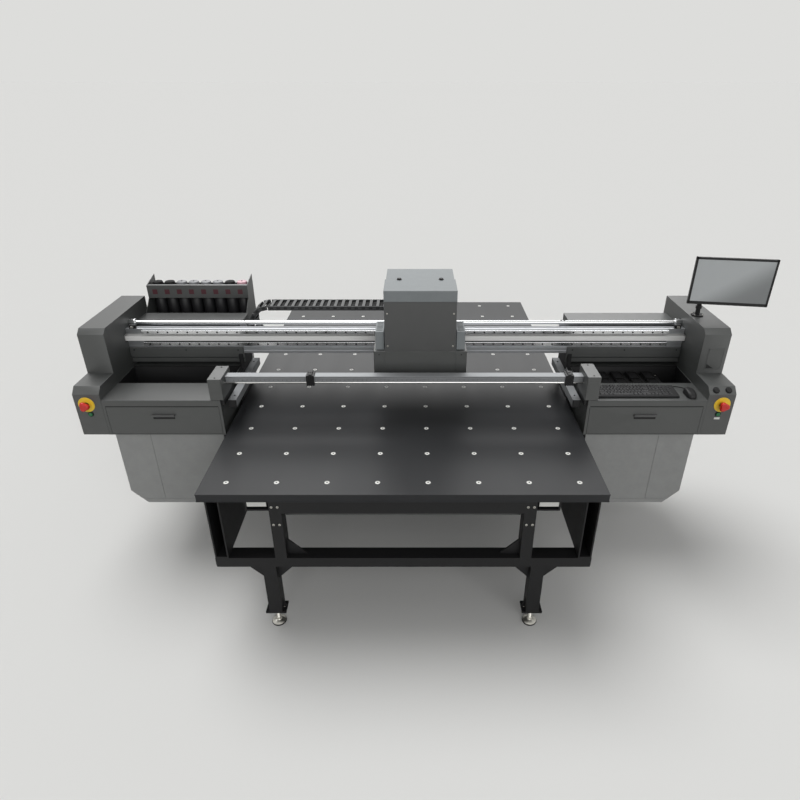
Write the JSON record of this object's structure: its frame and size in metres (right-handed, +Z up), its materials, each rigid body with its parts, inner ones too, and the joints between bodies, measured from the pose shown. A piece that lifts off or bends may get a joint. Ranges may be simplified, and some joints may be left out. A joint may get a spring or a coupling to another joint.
{
  "type": "flatbed uv printer",
  "caption": "Flatbed UV printer: fixed suction bed on a steel base and a travelling gantry with print carriage, side cabinets and screen.",
  "frame": {"origin": "on the floor, under the middle of the outer box", "axes": "+X to the operator's right across the bed, +Y from front to back, +Z up"},
  "size_m": [3.9296, 2.8, 1.796],
  "materials": {
    "black_anodised": "black anodised, satin",
    "lamp_housing": "grey coat",
    "frame_coat": "black powder coat",
    "dark_paint": "dark grey textured powder coat",
    "light_paint": "light grey textured powder coat",
    "aluminium": "natural anodised",
    "steel": "ground",
    "belt": "toothed belt with a bright back",
    "black_plastic": "moulded",
    "red_plastic": "moulded",
    "green_plastic": "moulded"
  },
  "bodies": {
    "base": {"bed": "black_anodised", "vacuum_plenum": "dark_paint", "end_frame_front": "frame_coat", "end_frame_rear": "frame_coat", "side_rail_beam_left": "frame_coat", "side_rail_beam_right": "frame_coat", "levelling_foot_front_left": "steel", "levelling_foot_front_right": "steel", "levelling_foot_rear_left": "steel", "levelling_foot_rear_right": "steel", "bed_drive_belt_left": "belt", "bed_drive_belt_right": "belt"},
    "gantry": {"gantry_upright_left": "dark_paint", "gantry_upright_right": "dark_paint", "gantry_lower_tie": "frame_coat", "cross_beam": "aluminium", "carriage_rail_upper": "steel", "carriage_rail_lower": "steel", "rear_rod": "steel", "carriage_belt": "belt", "carriage_motor": "black_plastic", "cabinet_left": "dark_paint", "cabinet_right": "dark_paint", "lower_box_left": "light_paint", "lower_box_right": "light_paint", "end_housing_left": "dark_paint", "end_housing_right": "dark_paint", "static_bar": "aluminium", "bar_end_block_left": "light_paint", "bar_end_block_right": "light_paint", "side_bar_left": "aluminium", "side_bar_right": "aluminium", "ink_rack": "light_paint", "ink_bottles": "black_plastic", "energy_chain": "black_plastic", "keyboard": "black_plastic", "mouse": "black_plastic", "mouse_cord": "black_plastic"},
    "belt_roller_left": {"belt_roller_left": "steel"},
    "belt_roller_right": {"belt_roller_right": "steel"},
    "rear_drive_shaft": {"rear_drive_shaft": "steel"},
    "carriage_slide": {"slide_plate": "aluminium"},
    "idler_pulley": {"idler_pulley": "aluminium"},
    "drive_pulley": {"drive_pulley": "aluminium"},
    "carriage": {"carriage_skirt": "dark_paint", "carriage_hood": "light_paint", "print_head_plate": "aluminium", "uv_lamp_left": "lamp_housing", "uv_lamp_right": "lamp_housing"},
    "capping_station": {"capping_station": "black_plastic"},
    "drawer_left": {"drawer_left": "dark_paint"},
    "drawer_right": {"drawer_right": "dark_paint"},
    "emergency_stop_left": {"emergency_stop_left": "red_plastic"},
    "start_button_left": {"start_button_left": "green_plastic"},
    "emergency_stop_right": {"emergency_stop_right": "red_plastic"},
    "start_button_right": {"start_button_right": "green_plastic"},
    "console_button_inner": {"console_button_inner": "black_plastic"},
    "console_button_outer": {"console_button_outer": "black_plastic"},
    "monitor_arm": {"monitor_arm": "frame_coat"},
    "monitor": {"monitor": "black_plastic"}
  },
  "joints": [
    {"name": "gantry_travel", "type": "slide", "parent": "base", "child": "gantry", "axis": [0, 1, 0], "range_m": [-0.55, 1.35]},
    {"name": "belt_roller_left_turn", "type": "hinge", "parent": "base", "child": "belt_roller_left", "pos_m": [-0.83475, -1.34, 0.85], "axis": [1, 0, 0], "range_deg": [-4000, 4000]},
    {"name": "belt_roller_right_turn", "type": "hinge", "parent": "base", "child": "belt_roller_right", "pos_m": [0.60525, -1.34, 0.85], "axis": [1, 0, 0], "range_deg": [-4000, 4000]},
    {"name": "rear_drive_shaft_turn", "type": "hinge", "parent": "base", "child": "rear_drive_shaft", "pos_m": [-0.11475, 1.34, 0.85], "axis": [1, 0, 0], "range_deg": [-4000, 4000]},
    {"name": "carriage_travel", "type": "slide", "parent": "gantry", "child": "carriage_slide", "axis": [1, 0, 0], "range_m": [-1.45, 1.27], "deforming": ["energy_chain"]},
    {"name": "idler_pulley_turn", "type": "hinge", "parent": "gantry", "child": "idler_pulley", "pos_m": [-1.88975, -0.3075, 1.285], "axis": [0, 0, 1], "range_deg": [-5000, 5000]},
    {"name": "drive_pulley_turn", "type": "hinge", "parent": "gantry", "child": "drive_pulley", "pos_m": [1.66025, -0.3075, 1.285], "axis": [0, 0, 1], "range_deg": [-5000, 5000]},
    {"name": "carriage_lift", "type": "slide", "parent": "carriage_slide", "child": "carriage", "axis": [0, 0, 1], "range_m": [-0.03, 0.08]},
    {"name": "capping_station_lift", "type": "slide", "parent": "gantry", "child": "capping_station", "axis": [0, 0, 1], "range_m": [0, 0.03]},
    {"name": "drawer_left_slide", "type": "slide", "parent": "gantry", "child": "drawer_left", "axis": [0, -1, 0], "range_m": [0, 0.15]},
    {"name": "drawer_right_slide", "type": "slide", "parent": "gantry", "child": "drawer_right", "axis": [0, -1, 0], "range_m": [0, 0.15]},
    {"name": "emergency_stop_left_push", "type": "slide", "parent": "gantry", "child": "emergency_stop_left", "axis": [0, 1, 0], "range_m": [0, 0.006]},
    {"name": "start_button_left_push", "type": "slide", "parent": "gantry", "child": "start_button_left", "axis": [0, 1, 0], "range_m": [0, 0.004], "stiffness_N_per_m": 600},
    {"name": "emergency_stop_right_push", "type": "slide", "parent": "gantry", "child": "emergency_stop_right", "axis": [0, 1, 0], "range_m": [0, 0.006]},
    {"name": "start_button_right_push", "type": "slide", "parent": "gantry", "child": "start_button_right", "axis": [0, 1, 0], "range_m": [0, 0.004], "stiffness_N_per_m": 600},
    {"name": "console_button_inner_push", "type": "slide", "parent": "gantry", "child": "console_button_inner", "axis": [0, 0.7071, -0.7071], "range_m": [0, 0.004], "stiffness_N_per_m": 600},
    {"name": "console_button_outer_push", "type": "slide", "parent": "gantry", "child": "console_button_outer", "axis": [0, 0.7071, -0.7071], "range_m": [0, 0.004], "stiffness_N_per_m": 600},
    {"name": "monitor_swivel", "type": "hinge", "parent": "gantry", "child": "monitor_arm", "pos_m": [1.63025, -0.32, 1.66], "axis": [0, 0, 1], "range_deg": [-30, 20]},
    {"name": "monitor_tilt", "type": "hinge", "parent": "monitor_arm", "child": "monitor", "pos_m": [1.7521, -0.36438, 1.66], "axis": [0.9877, -0.1564, 0], "range_deg": [-10, 6]}
  ],
  "couplings": [
    {"joint": "belt_roller_left_turn", "follows": "gantry_travel", "rad_per_m": 46.722},
    {"joint": "belt_roller_right_turn", "follows": "gantry_travel", "rad_per_m": 46.722},
    {"joint": "rear_drive_shaft_turn", "follows": "gantry_travel", "rad_per_m": 46.722},
    {"joint": "idler_pulley_turn", "follows": "carriage_travel", "rad_per_m": 51.605},
    {"joint": "drive_pulley_turn", "follows": "carriage_travel", "rad_per_m": 51.605}
  ]
}
